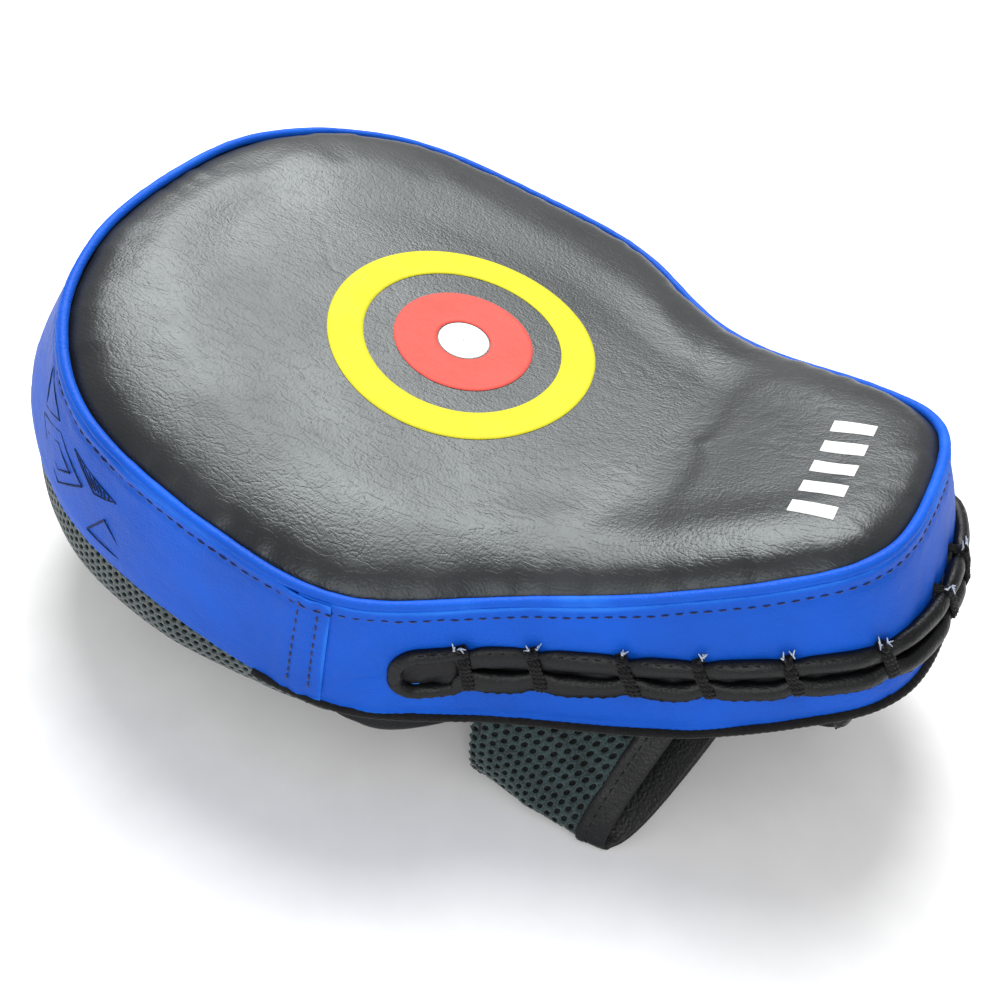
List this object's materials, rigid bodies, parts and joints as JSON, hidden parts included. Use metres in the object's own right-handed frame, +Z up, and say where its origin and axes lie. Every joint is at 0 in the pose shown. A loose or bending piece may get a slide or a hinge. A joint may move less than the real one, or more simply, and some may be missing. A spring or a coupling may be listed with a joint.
{
  "type": "curved focus mitt",
  "caption": "Curved, cupped striking pad worn on a coach's hand, with a laced side band, a finger hood, a palm ball, a thumb hood and a wrist strap underneath.",
  "frame": {"origin": "centre of the mitt's box, on the surface that it rests on", "axes": "+X from the finger end to the wrist end, +Z up out of the striking face, +Y to the side away from the thumb hood"},
  "size_m": [0.2916, 0.2042, 0.1093],
  "materials": {
    "face_pu": "pebbled synthetic leather, semi-gloss",
    "blue_pu": "smooth synthetic leather, semi-gloss",
    "trim_pu": "smooth synthetic leather, semi-gloss",
    "print_yellow": "heat-pressed print",
    "print_red": "heat-pressed print",
    "print_white": "heat-pressed print",
    "soft_foam": "open-cell foam",
    "dense_foam": "closed-cell foam",
    "board": "thin stiffener sheet",
    "back_cloth": "woven polyester",
    "webbing": "ribbed binding tape",
    "lining_cloth": "thin coated cloth",
    "thread": "thick bonded thread",
    "spacer_mesh": "knitted spacer mesh with round holes",
    "strap_cloth": "webbing",
    "loop_pile": "loop side of a hook-and-loop fastener",
    "hook_pile": "hook side of a hook-and-loop fastener"
  },
  "bodies": {
    "mitt": {"strike_face": "face_pu", "target_ring": "print_yellow", "target_disc": "print_red", "target_centre": "print_white", "wrist_bars": "print_white", "shock_foam": "soft_foam", "core_foam": "dense_foam", "stiffener_board": "board", "palm_foam": "soft_foam", "back_panel": "back_cloth", "finger_band": "blue_pu", "wrist_band": "blue_pu", "rim_piping": "blue_pu", "back_binding": "webbing", "slit_binding": "trim_pu", "slit_lining": "lining_cloth", "lacing_ties": "thread", "finger_hood_mesh": "spacer_mesh", "finger_hood_hem": "trim_pu", "palm_ball_cover": "back_cloth", "palm_ball_filling": "soft_foam", "thumb_web_pad": "trim_pu", "thumb_hood_end": "trim_pu", "thumb_hood_mesh": "spacer_mesh", "thumb_hood_binding": "trim_pu", "strap_anchor": "strap_cloth", "strap_loop_patch": "loop_pile", "strap_seam_tab": "strap_cloth"},
    "flap": {"strap_flap": "strap_cloth", "strap_hook_patch": "hook_pile"}
  },
  "joints": [
    {"name": "strap_opening", "type": "hinge", "parent": "mitt", "child": "flap", "pos_m": [0.10565, 0.03518, 0.03921], "axis": [0.9455, 0, 0.3256], "range_deg": [0, 80]}
  ]
}
